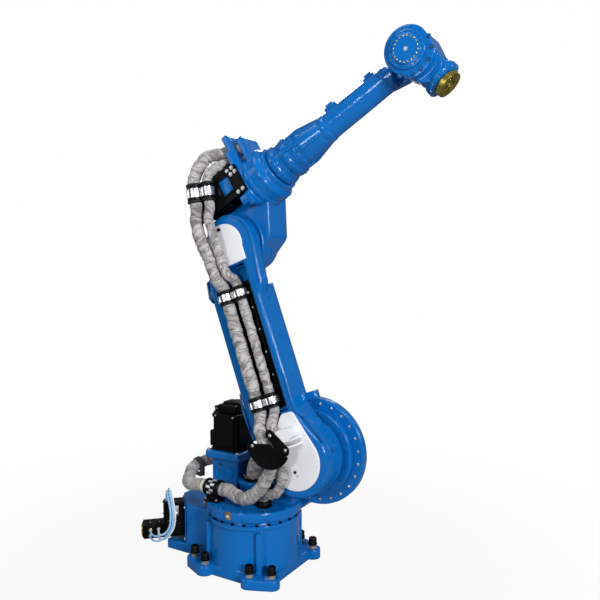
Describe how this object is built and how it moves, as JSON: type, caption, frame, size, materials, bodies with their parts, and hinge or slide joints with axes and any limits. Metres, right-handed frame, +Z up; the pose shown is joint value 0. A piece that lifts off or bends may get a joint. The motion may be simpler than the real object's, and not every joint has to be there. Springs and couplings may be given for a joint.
{
  "type": "industrial robot arm",
  "caption": "Floor-standing articulated robot arm with a turning base, leaning lower arm, long tapered forearm, jointed wrist with a tool flange, and jacketed hoses along one side.",
  "frame": {"origin": "on the floor, where the turning axis of the base meets the underside of the feet", "axes": "+Z up along the turning axis, +X the way the arm reaches, +Y away from the side that carries the hoses"},
  "size_m": [1.7238, 0.7363, 2.6635],
  "materials": {
    "blue_paint": "smooth gloss enamel on cast iron and cast aluminium",
    "white_cover": "moulded pale cover, satin",
    "grey_cloth": "wrinkled woven heat-guard jacket",
    "black_metal": "black satin paint",
    "bright_steel": "bare turned steel",
    "yellow_plating": "yellow chromate plating",
    "blue_tube": "smooth pneumatic tube",
    "white_tube": "smooth pneumatic tube"
  },
  "bodies": {
    "base": {"base_casting": "blue_paint", "anchor_bolts": "black_metal", "bolt_collars": "bright_steel", "connector_panel": "blue_paint", "connector_hoods": "black_metal", "air_fittings": "bright_steel", "blue_tubes": "blue_tube", "white_tubes": "white_tube"},
    "turret": {"turret_casting": "blue_paint", "shoulder_reducer": "blue_paint", "turn_gear_housing": "blue_paint", "turn_motor": "black_metal", "shoulder_motor": "black_metal", "turret_hose_clamp": "black_metal", "turret_hose": "grey_cloth", "riser_sleeve": "grey_cloth", "riser_ring": "black_metal", "hose_gland": "black_metal", "rim_clips": "yellow_plating", "knee_hose_large": "grey_cloth", "knee_hose_small": "grey_cloth"},
    "lower_arm": {"lower_arm_casting": "blue_paint", "lower_cover": "white_cover", "upper_cover": "white_cover", "channel_plate": "black_metal", "lower_hose_clamp": "black_metal", "upper_hose_clamp": "black_metal", "hose_guide": "black_metal", "guide_bracket": "white_cover", "arm_hose_large": "grey_cloth", "arm_hose_small": "grey_cloth", "loop_hose_large": "grey_cloth", "loop_hose_small": "grey_cloth"},
    "elbow": {"elbow_casting": "blue_paint", "elbow_motor": "black_metal", "wrist_motors": "black_metal", "clamp_bracket": "black_metal", "elbow_hose_clamp": "black_metal", "elbow_hose_large": "grey_cloth", "elbow_hose_small": "grey_cloth"},
    "forearm": {"forearm_casting": "blue_paint"},
    "wrist": {"wrist_casting": "blue_paint", "wrist_cover": "blue_paint"},
    "tool": {"tool_flange": "yellow_plating"}
  },
  "joints": [
    {"name": "turn", "type": "hinge", "parent": "base", "child": "turret", "pos_m": [0, 0, 0.3], "axis": [0, 0, 1], "range_deg": [-180, 180]},
    {"name": "shoulder", "type": "hinge", "parent": "turret", "child": "lower_arm", "pos_m": [0.335, 0, 0.64], "axis": [0, 1, 0], "range_deg": [-40, 96], "deforming": ["knee_hose_large", "knee_hose_small"]},
    {"name": "elbow", "type": "hinge", "parent": "lower_arm", "child": "elbow", "pos_m": [-0.05832, 0, 1.72065], "axis": [0, -1, 0], "range_deg": [-88, 78.75], "deforming": ["loop_hose_large", "loop_hose_small"]},
    {"name": "forearm_roll", "type": "hinge", "parent": "elbow", "child": "forearm", "pos_m": [0.90306, 0, 2.55551], "axis": [0.8549, 0, 0.5188], "range_deg": [-205, 205]},
    {"name": "wrist_bend", "type": "hinge", "parent": "forearm", "child": "wrist", "pos_m": [0.90306, 0, 2.55551], "axis": [0, -1, 0], "range_deg": [-50, 200]},
    {"name": "tool_turn", "type": "hinge", "parent": "wrist", "child": "tool", "pos_m": [1.06053, 0, 2.40476], "axis": [0.7224, 0, -0.6915], "range_deg": [-210, 210]}
  ]
}
